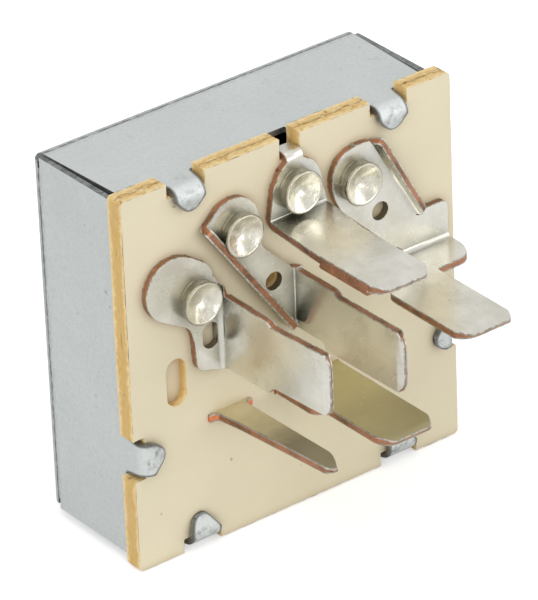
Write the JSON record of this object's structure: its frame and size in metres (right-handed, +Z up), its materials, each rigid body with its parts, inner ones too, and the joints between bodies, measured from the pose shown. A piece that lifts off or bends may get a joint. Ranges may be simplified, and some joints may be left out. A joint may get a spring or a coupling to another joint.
{
  "type": "rotary heater blower switch",
  "caption": "Rotary blower switch: folded steel box closed by two insulating sheets, with riveted blade terminals on the back and a threaded bush and shaft on the front.",
  "frame": {"origin": "on the shaft axis, in the plane of the mounting face of the case", "axes": "+Y along the shaft to the knob, so the blades point to -Y; +Z up as pictured; +X to the right, seen from the blades"},
  "size_m": [0.0386, 0.0521, 0.0394],
  "materials": {
    "zinc_steel": "matt zinc plating",
    "bare_steel": "turned",
    "spring_steel": "oiled",
    "polished_steel": "polished",
    "dark_moulding": "matt",
    "phenolic": "satin paper laminate",
    "contact_copper": "satin",
    "tinned_copper": "satin tin plating",
    "tinned_rivet": "bright tin plating"
  },
  "bodies": {
    "switch_body": {"case": "zinc_steel", "threaded_bush": "zinc_steel", "detent_plate": "zinc_steel", "inner_board": "phenolic", "terminal_board": "phenolic", "high_speed_terminal": "tinned_copper", "medium_high_terminal": "tinned_copper", "medium_low_terminal": "tinned_copper", "low_speed_terminal": "tinned_copper", "feed_terminal": "tinned_copper", "pilot_terminal": "tinned_copper", "terminal_rivets": "tinned_rivet"},
    "control": {"control_shaft": "bare_steel", "retaining_ring": "spring_steel", "thrust_washer": "spring_steel", "rotor": "dark_moulding", "detent_balls": "polished_steel", "detent_springs": "spring_steel", "contact_spring": "spring_steel", "contact_bridge": "contact_copper"}
  },
  "joints": [
    {"name": "shaft_turn", "type": "hinge", "parent": "switch_body", "child": "control", "pos_m": [0, 0, 0], "axis": [0, -1, 0], "range_deg": [0, 120]}
  ]
}
